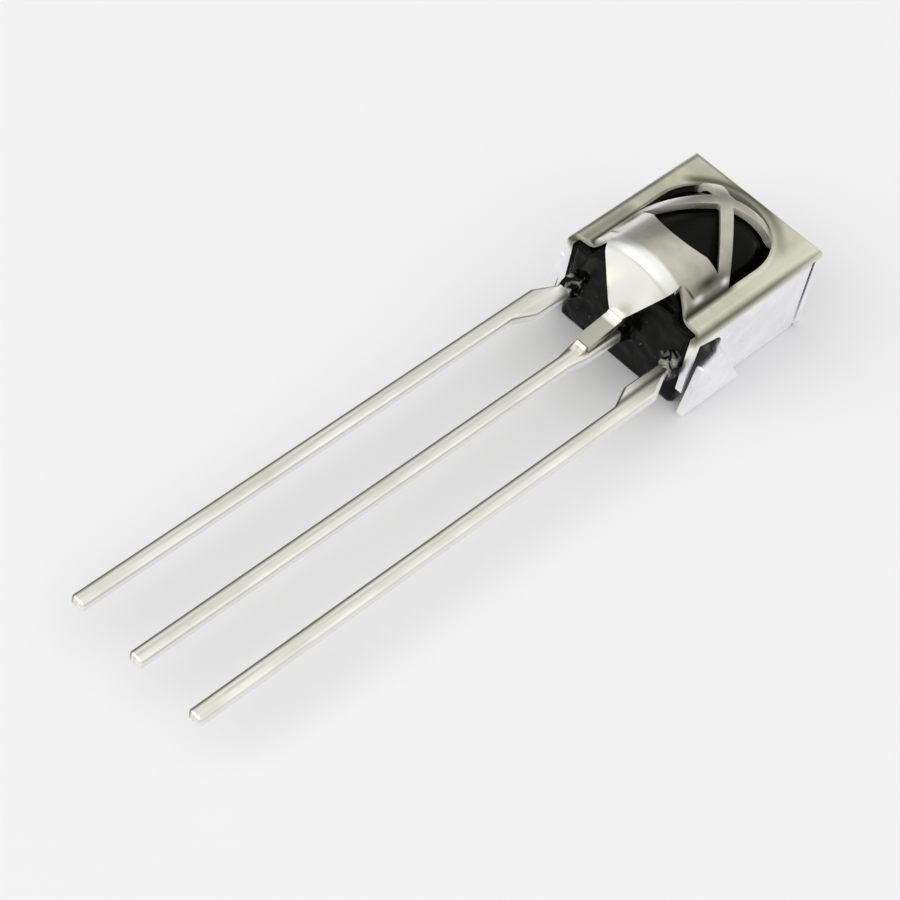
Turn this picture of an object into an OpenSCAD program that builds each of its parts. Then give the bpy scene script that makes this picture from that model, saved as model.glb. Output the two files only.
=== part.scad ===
// Shielded infrared receiver with three leads.
//
// A cast epoxy body with a domed lens holds a small lead frame, a photodiode
// and a receiver chip. A folded tinplate shield covers its front, both sides
// and its top end. The shield is pressed up over the lens, where a crossed
// window lets the light in, and a tab runs from it down to the middle lead.
//
// The part lies on its back. X runs across the three leads, the leads point
// to -Y, and +Z is the optical axis out of the front. The origin is the
// middle of the body on the surface that it rests on.

/* [Shield] */
// Width of the shield over its side walls
shield_w = 5.65; // [5.6:0.05:6.1]
// Length of the shield from its lead end to its closed end
shield_h = 6.25; // [6.25:0.05:7]
// Depth of the side walls behind the front plane
wall_depth = 3.5; // [3.5:0.05:4]
// Thickness of the tinplate
sheet_t = 0.25; // [0.18:0.01:0.3]
// Outer radius of the folds round the front
fold_r = 0.3; // [0.29:0.01:0.32]
// Width of the open slit between the side and end walls
corner_slit = 0.16; // [0.1:0.01:0.25]

/* [Lens hump] */
// Outer radius of the pressed hump
hump_r = 2.35; // [2.32:0.01:2.36]
// Height of the hump over the front plane
hump_rise = 1.3; // [1.2:0.01:1.31]
// Radius that blends the hump into the flat rim
hump_fillet = 0.25; // [0.18:0.01:0.26]
// Distance of the dome's centre from the lead end
dome_y = 3.66; // [3.5:0.01:3.67]

/* [Window] */
// Radius of the window's far end, seen from the front
window_r = 2.06; // [1.9:0.01:2.07]
// Distance of the window's near edge from the lead end
window_y = 1.88; // [1.7:0.01:2]
// Radius of the window's near edge, seen from the front
window_edge_r = 8; // [5:0.5:20]
// Width of each bar of the cross
bar_w = 0.44; // [0.3:0.01:0.5]
// Radius of the hub where the bars meet
hub_r = 0.36; // [0.36:0.01:0.45]
// Distance of the hub from the lead end
hub_y = 4.12; // [3.9:0.01:4.25]
// Distance across the front between the feet of two bars
bar_spread = 3.7; // [3.5:0.05:3.8]
// Distance of the lower feet of the bars from the lead end
bar_low_y = 2.18; // [2.05:0.01:2.4]
// Distance of the upper feet of the bars from the lead end
bar_high_y = 5.4; // [5.2:0.01:5.5]

/* [Ground tab] */
// Width of the tab where it leaves the hump
tab_w = 2.8; // [2.4:0.05:2.9]
// Depth of the notch in the hump beside the tab
tab_notch = 0.54; // [0.48:0.01:0.6]
// How far the front's edge stands back from the lead end
front_setback = 0.25; // [0.15:0.01:0.3]
// Outer radius of the bend at the top of the tab
tab_bend_r = 0.45; // [0.4:0.01:0.5]
// Angle by which the tab leans away from the body
tab_lean = 12; // [6:0.5:13]
// Distance from the lead end to where the bend begins
tab_bend_y = 0.32; // [0.3:0.01:0.36]
// Width of the foot that reaches down to the middle lead
foot_w = 0.58; // [0.5:0.01:0.65]
// Length of the foot beyond its bend
foot_len = 1.4; // [1.1:0.05:1.5]
// Inner radius of the bend at the foot
foot_bend_r = 0.12; // [0.08:0.01:0.2]
// Angle by which the foot slopes down to the lead
foot_tilt = 9; // [6:0.5:10]
// How far the foot stands to the left of the middle lead's centre
foot_shift = 0.05; // [0:0.01:0.08]
// Thickness of the solder under the end of the foot
solder_t = 0.03; // [0.02:0.01:0.05]
// Length of the solder beyond the end of the foot
solder_len = 0.4; // [0.3:0.01:0.45]
// Length of the solder under the foot
solder_under = 0.35; // [0.2:0.01:0.5]

/* [Lead-end ears] */
// Width of the finger at its root, next to the front
finger_w = 0.26; // [0.22:0.01:0.3]
// Width of the finger at its tip
finger_tip_w = 0.1; // [0.08:0.01:0.14]
// Length of the finger behind the front plane
finger_len = 2.72; // [2.4:0.02:2.8]
// Radius of the round end of the gap above each ear
ear_gap_r = 0.43; // [0.36:0.01:0.46]
// Distance from the front plane to the top of that round end
ear_gap_top = 0.77; // [0.72:0.01:0.84]
// Width of the slot between the finger and the top of the ear
ear_slot = 0.13; // [0.1:0.01:0.2]
// Height of the ear at its free upper corner
ear_h = 2.02; // [1.9:0.01:2.08]
// How far the ear's free end reaches past the lead end
ear_reach = 0.08; // [0:0.01:0.12]
// Distance from the lead end to the root of the ear at the back
ear_root_y = 2.83; // [2.7:0.01:3]
// Distance from the lead end to the root of the ear at its top
ear_neck_y = 1.46; // [1.42:0.01:1.55]
// How far the step at its root sets the ear out of the side wall
ear_out = 0.35; // [0.3:0.01:0.4]
// Length of that step along the wall
ear_step = 0.1; // [0.06:0.01:0.14]
// Radius of the punched mark on the ear
dimple_r = 0.3; // [0.2:0.01:0.35]
// Depth of the punched mark
dimple_d = 0.06; // [0.03:0.01:0.1]

/* [Epoxy body] */
// Clearance between the epoxy and the shield round it
body_gap = 0.03; // [0.02:0.01:0.05]
// Clearance between the lens and the hump over it
lens_gap = 0.08; // [0.04:0.01:0.12]
// How far the back of the epoxy stands behind the side walls
back_proud = 0.05; // [0.03:0.01:0.15]
// Radius of the body's long edges
body_r = 0.25; // [0.15:0.01:0.4]
// How far the epoxy climbs along each lead
meniscus_len = 0.6; // [0.3:0.05:0.8]
// How wide the epoxy spreads round the foot of each lead
meniscus_w = 0.11; // [0.06:0.01:0.12]

/* [Leads] */
// Distance between the centres of two leads
lead_pitch = 2.54; // [2.5:0.01:2.56]
// Width of each lead
lead_w = 0.55; // [0.45:0.01:0.56]
// Thickness of the lead frame
lead_t = 0.4; // [0.35:0.01:0.5]
// Length of the leads beyond the shield
lead_len = 20.65; // [15:0.05:25]
// Distance of the leads' front face behind the front plane
lead_drop = 1.71; // [1.6:0.01:1.8]
// Width of the middle lead's shoulders
shoulder_w = 0.8; // [0.75:0.01:0.9]
// Distance from the shield to the end of the shoulders
shoulder_end = 2; // [1.9:0.05:2.4]
// Length over which the shoulders narrow to the lead
shoulder_taper = 0.8; // [0.4:0.05:1.2]
// Width of the outer leads where they leave the epoxy
root_w = 0.5; // [0.4:0.01:0.55]
// Epoxy left outside the root of an outer lead
root_cover = 0.13; // [0.13:0.01:0.2]

/* [Chips and wires] */
// Side of the photodiode
diode_side = 1.5; // [1.2:0.05:1.6]
// Thickness of the photodiode
diode_t = 0.28; // [0.2:0.01:0.35]
// Width of the receiver chip
chip_w = 1.1; // [0.9:0.05:1.3]
// Length of the receiver chip
chip_l = 0.95; // [0.8:0.05:1.05]
// Thickness of the receiver chip
chip_t = 0.25; // [0.2:0.01:0.35]
// Thickness of the adhesive under both
glue_t = 0.04; // [0.03:0.01:0.06]
// Width of the chip pad on the middle lead
pad_w = 2.4; // [2.2:0.05:2.5]
// Margin of the pad round the photodiode and the chip
pad_margin = 0.25; // [0.15:0.01:0.3]
// Gap between the photodiode and the receiver chip
chip_gap = 0.35; // [0.25:0.01:0.45]
// Diameter of the bond wires
wire_d = 0.06; // [0.05:0.01:0.08]
// Height of the wire loops over the chips
wire_rise = 0.3; // [0.2:0.01:0.35]
// Radius of the bends in the wire loops
wire_bend = 0.12; // [0.08:0.01:0.14]

/* [Hidden] */
$fn = 64;
eps = 0.01;
front_z = wall_depth + back_proud;
lead_end_y = -shield_h / 2;
lead_z = front_z - lead_drop;

// The hump is part of a ball and of a tube round one centre height.
hump_sink = hump_r - hump_rise;
hump_z = front_z - hump_sink;
blend_u = sqrt(pow(hump_r + hump_fillet, 2) - pow(hump_fillet + hump_sink, 2));
bar_x = bar_spread / 2;
lens_r = hump_r - sheet_t - lens_gap;

// The tab: a bend about the hump's axis, a leaning cone and a flat middle.
tab_disc_r = hump_r - tab_bend_r;
tab_cone_r = tab_disc_r + tab_bend_r * sin(tab_lean);
tab_flat_r = 0.42;
tab_lap = 0.1;
tab_cone_y = lead_end_y + tab_bend_y - tab_bend_r * cos(tab_lean);
tab_front_y = tab_cone_y - (tab_cone_r - tab_flat_r) * tan(tab_lean);

// The foot, which slopes down from its bend to the solder on the lead.
foot_outer_r = foot_bend_r + sheet_t;
foot_y = tab_front_y - foot_bend_r;
foot_z = lead_z + solder_t + foot_outer_r * cos(foot_tilt) + foot_len * sin(foot_tilt);

// The ears, measured from the lead end and from the front plane.
ear_gap_y = ear_neck_y - ear_gap_r;
ear_gap_z = -ear_gap_top - ear_gap_r;
finger_root_z = -ear_gap_top + 0.2;
ear_corner_r = 0.15;
ear_lap = 0.2;
ear_root = [ear_root_y, -wall_depth];
ear_neck = [ear_neck_y, ear_gap_z - 0.16];
ear_corner = [(finger_w + finger_tip_w) / 2 + ear_slot, -wall_depth + ear_h];
ear_peak = [ear_gap_y, ear_neck[1] + 0.11];
ear_foot = [-ear_reach, -wall_depth + 0.1];
ear_turn = atan2(ear_root[0] - ear_neck[0], ear_neck[1] - ear_root[1]);

// The epoxy and what is cast into it.
body_w = shield_w - 2 * (sheet_t + body_gap);
body_front_z = front_z - sheet_t - body_gap;
body_y0 = lead_end_y + body_gap;
body_y1 = shield_h / 2 - sheet_t - body_gap;
root_x = body_w / 2 - root_cover - root_w / 2;
lead_tip_y = lead_end_y - lead_len;
chip_z = lead_z + glue_t;
diode_y = lead_end_y + dome_y;
chip_y = diode_y - diode_side / 2 - chip_gap - chip_l / 2;
pad_y0 = chip_y - chip_l / 2 - pad_margin;
pad_y1 = diode_y + diode_side / 2 + pad_margin;
post_w = 0.85;
post_y0 = lead_end_y + 1.1;
post_y1 = post_y0 + 1.2;
post_x = root_x + root_w / 2 - post_w / 2;
wire_top = max(chip_z + chip_t, chip_z + diode_t) + wire_rise;
ball_r = wire_d;
ball_t = wire_d / 2;

// A shape drawn in (Y, Z) and extruded across the part, centred on X.
module across(width) {
    translate([-width / 2, 0, 0]) rotate([90, 0, 90]) linear_extrude(width) children();
}

// A shape drawn in (X, Z) and extruded along the part from y0 to y1.
module along(y0, y1) {
    translate([0, y1, 0]) rotate([90, 0, 0]) linear_extrude(y1 - y0) children();
}

// A rectangle with two round upper corners, standing on its lower edge.
module round_topped(width, height, radius) {
    translate([-width / 2, 0]) square([width, height - radius]);
    translate([-width / 2 + radius, 0]) square([width - 2 * radius, height]);
    for (side = [-1, 1])
        translate([side * (width / 2 - radius), height - radius]) circle(radius);
}

// The folded box, or its inside: an inset box with inset fold radii.
module box_form(inset) {
    radius = fold_r - inset;
    top = front_z - inset;
    bottom = back_proud - (inset > 0 ? 1 : 0);
    y0 = lead_end_y - (inset > 0 ? 1 : 0);
    y1 = shield_h / 2 - inset;
    intersection() {
        along(y0, y1)
            translate([0, bottom]) round_topped(shield_w - 2 * inset, top - bottom, radius);
        across(shield_w)
            union() {
                translate([y0, bottom]) square([y1 - radius - y0, top - bottom]);
                translate([y0, bottom]) square([y1 - y0, top - radius - bottom]);
                translate([y1 - radius, top - radius]) circle(radius);
            }
    }
}

// The section that blends the hump into the front plane, u outwards, v up.
module blend_section(inset) {
    radius = hump_fillet + inset;
    reach = hump_r - inset;
    ratio = reach / (hump_r + hump_fillet);
    tangent_u = blend_u * ratio;
    tangent_v = (hump_fillet + hump_sink) * ratio - hump_sink;
    low = -inset - 0.1;
    difference() {
        translate([tangent_u - 0.2, low]) square([blend_u - tangent_u + 0.2, tangent_v - low]);
        translate([blend_u, hump_fillet]) circle(radius);
    }
}

// The hump over the lens, or its inside, from y0 to the dome's far foot.
module hump_form(inset, y0) {
    centre_y = lead_end_y + dome_y;
    radius = hump_r - inset;
    floor_z = front_z - inset - 0.1;
    intersection() {
        union() {
            translate([0, centre_y, hump_z]) rotate([90, 0, 0]) cylinder(r = radius, h = centre_y - y0);
            translate([0, centre_y, hump_z]) sphere(radius);
        }
        translate([-shield_w, y0, floor_z]) cube([2 * shield_w, 2 * shield_h, 2 * hump_r]);
    }
    for (side = [0, 1])
        along(y0, centre_y)
            mirror([side, 0]) translate([0, front_z]) blend_section(inset);
    translate([0, centre_y, front_z]) rotate_extrude(angle = 180) blend_section(inset);
}

// One bar of the cross, from the hub to its foot on the rim.
module bar(foot) {
    from = [0, lead_end_y + hub_y];
    run = foot - from;
    translate(from) rotate(atan2(run[1], run[0])) translate([0, -bar_w / 2]) square([norm(run) + 1, bar_w]);
}

// The four window openings, seen from the front.
module window_outline() {
    difference() {
        union() {
            translate([0, lead_end_y + dome_y]) circle(window_r);
            intersection() {
                translate([-window_r, lead_end_y]) square([2 * window_r, dome_y]);
                translate([0, lead_end_y + window_y + window_edge_r]) circle(window_edge_r, $fn = 360);
            }
        }
        translate([0, lead_end_y + hub_y]) circle(hub_r);
        for (side = [-1, 1])
            for (foot_y = [bar_low_y, bar_high_y])
                bar([side * bar_x, lead_end_y + foot_y]);
    }
}

// The tab's outline on the lead-end face, from under the hump to its foot.
module tab_outline() {
    foot_left = -foot_shift - foot_w / 2;
    wide_z = front_z + hump_rise * 0.6;
    polygon([
        [-tab_w / 2, front_z + hump_rise + 1],
        [-tab_w / 2, wide_z],
        [foot_left, foot_z],
        [foot_left + foot_w, foot_z],
        [tab_w / 2, wide_z],
        [tab_w / 2, front_z + hump_rise + 1]
    ]);
}

// What lies inside one face of the tab, u out from the axis, v off the body.
module tab_side(inset) {
    bend_r = tab_bend_r - inset;
    slope = tan(tab_lean);
    cone_u = tab_disc_r + bend_r * sin(tab_lean);
    cone_v = bend_r * cos(tab_lean);
    flat_u = tab_flat_r - inset * tan(tab_lean / 2);
    flat_v = cone_v + (cone_u - flat_u) * slope;
    translate([tab_disc_r, 0]) circle(bend_r);
    polygon([
        [0, -tab_lap - inset],
        [tab_disc_r + bend_r, -tab_lap - inset],
        [tab_disc_r + bend_r, 0],
        [cone_u, cone_v],
        [flat_u, flat_v],
        [0, flat_v]
    ]);
}

// The section of the tab, with a short lap into the metal of the hump.
module tab_section() {
    intersection() {
        difference() {
            tab_side(0);
            tab_side(sheet_t);
        }
        translate([0, -tab_lap]) square([hump_r, 2 * hump_r]);
    }
}

// The tab: a bend that follows the arch of the hump, then the leaning face.
module tab_face() {
    intersection() {
        translate([0, lead_end_y + tab_bend_y, hump_z]) rotate([90, 0, 0]) rotate_extrude() tab_section();
        along(tab_front_y - 1, lead_end_y + 1) tab_outline();
    }
}

// The foot: a bend away from the body and a strip that slopes to the lead.
module tab_foot() {
    translate([-foot_shift, 0, 0]) across(foot_w) translate([foot_y, foot_z]) {
        translate([foot_bend_r, 0]) square([sheet_t, tab_lap]);
        difference() {
            union() {
                circle(foot_outer_r);
                rotate(foot_tilt) translate([-foot_len, -foot_outer_r]) square([foot_len, foot_outer_r]);
            }
            circle(foot_bend_r);
            rotate(foot_tilt) translate([-2 * foot_len, -foot_bend_r]) square([2 * foot_len, 1]);
            translate([-foot_len, 0]) square(2 * foot_len);
        }
    }
}

// The finger, which narrows from the front to its round tip.
module finger_outline() {
    tip_z = -finger_len + finger_tip_w / 2;
    polygon([[0, 0], [finger_w, 0], [finger_w, finger_root_z], [finger_tip_w, tip_z], [0, tip_z]]);
    translate([finger_tip_w / 2, tip_z]) circle(finger_tip_w / 2);
}

// What is cut away at the lead end of a side wall, in (Y, Z) from its corner.
module ear_cut() {
    low = -wall_depth - 0.5;
    difference() {
        union() {
            translate([ear_gap_y, ear_gap_z]) circle(ear_gap_r);
            polygon([
                [-1, finger_root_z],
                [finger_w, finger_root_z],
                [ear_gap_y, -ear_gap_top],
                [ear_neck_y, ear_gap_z],
                ear_neck,
                ear_root,
                [ear_root[0], low],
                [-1, low]
            ]);
        }
        finger_outline();
    }
}

// The outline of an ear, seen from the side, with its lap into the wall.
module ear_outline() {
    back = unit(ear_foot - ear_corner);
    on = unit(ear_peak - ear_corner);
    half = acos(back * on) / 2;
    over = ear_lap * rotated([1, 0], ear_turn);
    polygon([
        [ear_foot[0], -wall_depth],
        ear_foot,
        ear_corner + back * ear_corner_r / tan(half),
        ear_corner + on * ear_corner_r / tan(half),
        ear_peak,
        [ear_neck[0], ear_neck[1] + 0.06],
        ear_neck + over,
        ear_root + over,
        ear_root
    ]);
    translate(ear_corner + unit(back + on) * ear_corner_r / sin(half)) circle(ear_corner_r);
}

// Points beside a path, moved over by a distance, with mitred corners.
function turn(v) = [-v[1], v[0]];
function unit(v) = v / norm(v);
function rotated(v, a) = [v[0] * cos(a) - v[1] * sin(a), v[0] * sin(a) + v[1] * cos(a)];
function side_normal(path, i) = turn(unit(path[i + 1] - path[i]));
function mitre(path, i) =
    let (last = len(path) - 1)
    i == 0 ? side_normal(path, 0)
    : i == last ? side_normal(path, last - 1)
    : let (a = side_normal(path, i - 1), b = side_normal(path, i)) (a + b) / (1 + a * b);
function beside(path, distance) = [for (i = [0:len(path) - 1]) path[i] + distance * mitre(path, i)];

// The section across the ear's root, v towards the wall and x outwards.
module ear_section() {
    outer = [[ear_lap, 0], [0, 0], [-ear_step, ear_out], [-2 * ear_root_y, ear_out]];
    inner = beside(outer, sheet_t);
    polygon(concat(outer, [for (i = [len(inner) - 1:-1:0]) inner[i]]));
}

// An ear on the right side wall: a plate that one steep step sets out.
module ear() {
    difference() {
        intersection() {
            translate([shield_w / 2, lead_end_y + ear_root[0], front_z + ear_root[1]])
                rotate([ear_turn, 0, 0])
                    rotate([180, 0, 90])
                        translate([0, 0, -2 * wall_depth]) linear_extrude(4 * wall_depth) ear_section();
            translate([shield_w / 2, lead_end_y, front_z]) across(4 * ear_out + 4 * sheet_t) ear_outline();
        }
        translate([
            shield_w / 2 + ear_out + dimple_r - dimple_d,
            lead_end_y + ear_neck_y - 0.5,
            back_proud + ear_h * 0.62
        ]) sphere(dimple_r);
    }
}

// The slit in each far corner, with a round end next to the front.
module corner_slits() {
    top = front_z - fold_r - corner_slit;
    for (side = [-1, 1]) {
        translate([side * shield_w / 2, shield_h / 2 - fold_r - corner_slit / 2, 0]) {
            translate([-fold_r, -corner_slit / 2, -1]) cube([2 * fold_r, corner_slit, top + 1]);
            translate([0, 0, top]) rotate([0, 90, 0]) cylinder(d = corner_slit, h = 2 * fold_r, center = true);
        }
    }
}

// What is cut away beside the tab, so that the front's edge stands back.
module lead_edge_cut() {
    flat_x = shield_w / 2 - fold_r;
    translate([0, lead_end_y, front_z - fold_r])
        linear_extrude(2 * hump_r)
            polygon([
                [tab_w / 2 - 0.02, -1],
                [tab_w / 2 - 0.02, tab_notch],
                [blend_u - 0.25, front_setback + 0.05],
                [flat_x, front_setback],
                [flat_x + fold_r / 2, front_setback * 0.75],
                [shield_w / 2, 0],
                [shield_w / 2, -1]
            ]);
}

module shield() {
    color("#c9c8b6") {
        difference() {
            union() {
                box_form(0);
                hump_form(0, lead_end_y);
            }
            box_form(sheet_t);
            hump_form(sheet_t, lead_end_y - 1);
            translate([0, 0, front_z - sheet_t - 1]) linear_extrude(hump_rise + 2) window_outline();
            translate([0, lead_end_y, front_z]) across(2 * shield_w) ear_cut();
            for (side = [0, 1])
                mirror([side, 0, 0]) lead_edge_cut();
            corner_slits();
            translate([-tab_w / 2, lead_end_y - 1, front_z + hump_rise * 0.3])
                cube([tab_w, 1 + tab_bend_y, hump_rise]);
        }
        tab_face();
        tab_foot();
        for (side = [0, 1])
            mirror([side, 0, 0]) ear();
    }
}

// A collar of epoxy that climbs a lead, before the lead is cut from it.
module meniscus(x, width) {
    foot = [width + 2 * meniscus_w, eps, lead_t + 2 * meniscus_w];
    tip = [width + 2 * eps, eps, lead_t + 2 * eps];
    hull() {
        translate([x - foot[0] / 2, body_y0, lead_z - lead_t - meniscus_w]) cube(foot);
        translate([x - tip[0] / 2, body_y0 - meniscus_len, lead_z - lead_t - eps]) cube(tip);
    }
}

// The plan of the cast body, a rectangle with round corners.
module body_plan() {
    x1 = body_w / 2;
    translate([-x1 + body_r, body_y0]) square([body_w - 2 * body_r, body_y1 - body_y0]);
    translate([-x1, body_y0 + body_r]) square([body_w, body_y1 - body_y0 - 2 * body_r]);
    for (x = [-x1 + body_r, x1 - body_r])
        for (y = [body_y0 + body_r, body_y1 - body_r])
            translate([x, y]) circle(body_r);
}

module epoxy_body() {
    color("#1b1b1d") difference() {
        union() {
            linear_extrude(body_front_z) body_plan();
            intersection() {
                union() {
                    translate([0, diode_y, hump_z]) rotate([90, 0, 0])
                        cylinder(r = lens_r, h = diode_y - body_y0);
                    translate([0, diode_y, hump_z]) sphere(lens_r);
                }
                translate([-body_w / 2, body_y0, body_front_z - 1])
                    cube([body_w, shield_h, hump_r + 1]);
            }
            for (side = [-1, 1])
                meniscus(side * root_x, root_w);
            difference() {
                meniscus(0, shoulder_w);
                translate([-lead_pitch / 2, lead_end_y - lead_pitch, lead_z - eps])
                    cube([lead_pitch, lead_pitch, lead_t + 1]);
            }
        }
        tab_clearance();
        frame_lead_outer(1);
        frame_lead_outer(-1);
        frame_lead_middle();
        chip_block(diode_y, diode_side, diode_side, diode_t);
        chip_block(chip_y, chip_w, chip_l, chip_t);
        for (wire = WIRES)
            bond_wire(wire);
    }
}

// The room that the lens leaves for the bend at the top of the tab.
module tab_clearance() {
    clear_r = tab_disc_r - 0.6;
    translate([0, lead_end_y + tab_bend_y, hump_z]) rotate([90, 0, 0]) difference() {
        cylinder(r = hump_r, h = tab_bend_y + body_gap);
        translate([0, 0, -1]) cylinder(r = clear_r, h = tab_bend_y + 2);
        translate([-hump_r, -hump_r, -1]) cube([2 * hump_r, hump_r + hump_sink, 3]);
    }
}

// The plan of an outer lead on the right: bond post, root, shoulder and lead.
module outer_lead_plan() {
    inner_x = root_x - root_w / 2;
    outer_x = root_x + root_w / 2;
    lead_x0 = lead_pitch - lead_w / 2;
    lead_x1 = lead_pitch + lead_w / 2;
    polygon([
        [outer_x - post_w, post_y1],
        [outer_x, post_y1],
        [outer_x, lead_end_y - meniscus_len],
        [lead_x1, lead_end_y - meniscus_len - shoulder_taper],
        [lead_x1, lead_tip_y],
        [lead_x0, lead_tip_y],
        [lead_x0, lead_end_y - shoulder_end - shoulder_taper],
        [inner_x, lead_end_y - shoulder_end],
        [inner_x, post_y0],
        [outer_x - post_w, post_y0]
    ]);
}

module frame_lead_outer(side) {
    mirror([side > 0 ? 0 : 1, 0, 0])
        translate([0, 0, lead_z - lead_t]) linear_extrude(lead_t) outer_lead_plan();
}

// The right half of the middle lead, from the pad's far end to its tip.
middle_half = [
    [pad_w / 2, pad_y1],
    [pad_w / 2, pad_y0],
    [shoulder_w / 2, pad_y0],
    [shoulder_w / 2, lead_end_y - shoulder_end],
    [lead_w / 2, lead_end_y - shoulder_end - shoulder_taper],
    [lead_w / 2, lead_tip_y]
];

// The middle lead with its shoulders and the pad that carries both chips.
module frame_lead_middle() {
    other_half = [for (i = [len(middle_half) - 1:-1:0]) [-middle_half[i][0], middle_half[i][1]]];
    translate([0, 0, lead_z - lead_t]) linear_extrude(lead_t) polygon(concat(middle_half, other_half));
}

// A chip with the adhesive under it, as one block.
module chip_block(y, width, length, thickness) {
    translate([-width / 2, y - length / 2, lead_z]) cube([width, length, glue_t + thickness]);
}

// A chip, standing on its adhesive.
module chip(y, width, length, thickness) {
    translate([-width / 2, y - length / 2, chip_z]) cube([width, length, thickness]);
}

module adhesive(y, width, length) {
    translate([-width / 2, y - length / 2, lead_z]) cube([width, length, glue_t]);
}

// Each bond wire: where it starts and where it ends.
chip_top = chip_z + chip_t;
diode_top = chip_z + diode_t;
post_mid_y = (post_y0 + post_y1) / 2;
chip_bond_x = chip_w * 0.32;
chip_edge_y = chip_y + chip_l * 0.3;
diode_edge_y = diode_y - diode_side * 0.4;
pad_bond_x = (pad_w / 2 + chip_w / 2) / 2;
WIRE_OUT = [[-chip_bond_x, chip_y - chip_l * 0.2, chip_top], [-post_x, post_mid_y, lead_z]];
WIRE_VCC = [[chip_bond_x, chip_y - chip_l * 0.2, chip_top], [post_x, post_mid_y, lead_z]];
WIRE_GND = [[chip_bond_x, chip_y + chip_l * 0.05, chip_top], [pad_bond_x, chip_y + chip_l * 0.3, lead_z]];
WIRE_SIGNAL = [[-chip_bond_x, chip_edge_y, chip_top], [-chip_bond_x * 1.3, diode_edge_y, diode_top]];
WIRE_BIAS = [[chip_bond_x * 0.3, chip_edge_y, chip_top], [chip_bond_x * 0.9, diode_edge_y, diode_top]];
WIRES = [WIRE_OUT, WIRE_VCC, WIRE_GND, WIRE_SIGNAL, WIRE_BIAS];

// A loop of wire: two risers, two bends and a level run, on flattened balls.
module bond_wire(ends) {
    a = ends[0];
    b = ends[1];
    run = [b[0] - a[0], b[1] - a[1]];
    span = norm(run);
    translate([a[0], a[1], 0]) rotate(atan2(run[1], run[0])) {
        wire_riser(a[2]);
        translate([span, 0, 0]) wire_riser(b[2]);
        translate([wire_bend, 0, wire_top]) rotate([0, 90, 0])
            cylinder(d = wire_d, h = span - 2 * wire_bend, $fn = 16);
        translate([wire_bend, 0, wire_top - wire_bend]) wire_corner(90);
        translate([span - wire_bend, 0, wire_top - wire_bend]) wire_corner(0);
    }
}

module wire_riser(z) {
    translate([0, 0, z]) cylinder(r = ball_r, h = ball_t, $fn = 24);
    translate([0, 0, z]) cylinder(d = wire_d, h = wire_top - wire_bend - z, $fn = 16);
}

// A quarter bend in the X and Z plane, which starts at the given angle.
module wire_corner(start) {
    rotate([90, 0, 0]) rotate(start) rotate_extrude(angle = 90)
        translate([wire_bend, 0]) circle(d = wire_d, $fn = 16);
}

module lead_out() {
    color("#d8d6c6") frame_lead_outer(-1);
}

module lead_gnd() {
    color("#d8d6c6") frame_lead_middle();
}

module lead_vcc() {
    color("#d8d6c6") frame_lead_outer(1);
}

// A bead that fills the wedge under the foot and runs out along the lead.
module tab_solder() {
    far = rotated([-foot_len, -foot_outer_r], foot_tilt);
    near = rotated([-foot_len + solder_under, -foot_outer_r], foot_tilt);
    top = rotated([-foot_len, -foot_outer_r + sheet_t * 0.8], foot_tilt);
    end_y = foot_y + far[0];
    color("#dddcd2") translate([-foot_shift, 0, 0]) across(foot_w * 0.8) polygon([
        [end_y - solder_len, lead_z],
        [foot_y + near[0], lead_z],
        [foot_y + near[0], foot_z + near[1]],
        [end_y, foot_z + far[1]],
        [foot_y + top[0], foot_z + top[1]],
        [end_y - solder_len * 0.35, lead_z + sheet_t * 0.5],
        [end_y - solder_len * 0.7, lead_z + sheet_t * 0.2]
    ]);
}

module photodiode_die() {
    color("#3a3f52") chip(diode_y, diode_side, diode_side, diode_t);
}

module receiver_ic_die() {
    color("#5d6068") chip(chip_y, chip_w, chip_l, chip_t);
}

module diode_adhesive() {
    color("#b9b9b4") adhesive(diode_y, diode_side, diode_side);
}

module ic_adhesive() {
    color("#b9b9b4") adhesive(chip_y, chip_w, chip_l);
}

module gold_wire(ends) {
    color("#d9a93a") bond_wire(ends);
}

module wire_out() { gold_wire(WIRE_OUT); }
module wire_vcc() { gold_wire(WIRE_VCC); }
module wire_gnd() { gold_wire(WIRE_GND); }
module wire_diode_signal() { gold_wire(WIRE_SIGNAL); }
module wire_diode_bias() { gold_wire(WIRE_BIAS); }

shield();
epoxy_body();
lead_out();
lead_gnd();
lead_vcc();
tab_solder();
photodiode_die();
receiver_ic_die();
diode_adhesive();
ic_adhesive();
wire_out();
wire_vcc();
wire_gnd();
wire_diode_signal();
wire_diode_bias();
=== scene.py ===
"""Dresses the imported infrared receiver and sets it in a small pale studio."""

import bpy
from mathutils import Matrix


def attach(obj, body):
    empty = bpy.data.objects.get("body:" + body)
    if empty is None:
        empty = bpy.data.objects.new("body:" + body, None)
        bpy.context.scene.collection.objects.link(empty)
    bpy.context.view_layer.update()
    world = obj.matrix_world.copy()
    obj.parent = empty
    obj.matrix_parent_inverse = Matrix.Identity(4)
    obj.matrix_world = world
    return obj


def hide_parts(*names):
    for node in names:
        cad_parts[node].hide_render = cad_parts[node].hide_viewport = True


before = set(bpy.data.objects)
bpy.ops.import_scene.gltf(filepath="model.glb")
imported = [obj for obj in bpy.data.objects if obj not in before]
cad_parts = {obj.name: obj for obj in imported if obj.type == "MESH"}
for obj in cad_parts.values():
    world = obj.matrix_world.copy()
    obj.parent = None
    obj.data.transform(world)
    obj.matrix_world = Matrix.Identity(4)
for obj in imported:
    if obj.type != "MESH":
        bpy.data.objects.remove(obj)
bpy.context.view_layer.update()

import logging
import math
from dataclasses import dataclass, field
from enum import Enum
from typing import Any, Sequence

import bmesh
import bpy
from mathutils import Matrix, Vector, noise

logging.basicConfig(level=logging.INFO, format="%(levelname)s %(message)s")
LOG = logging.getLogger("receiver")

MM = 0.001
BODY = "root"
# Corners of a copied mesh that are nearer than this become one.
JOIN_MM = 0.0005
# Faces that lean less than this from each other become one.
FLAT_DEG = 0.6
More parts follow.
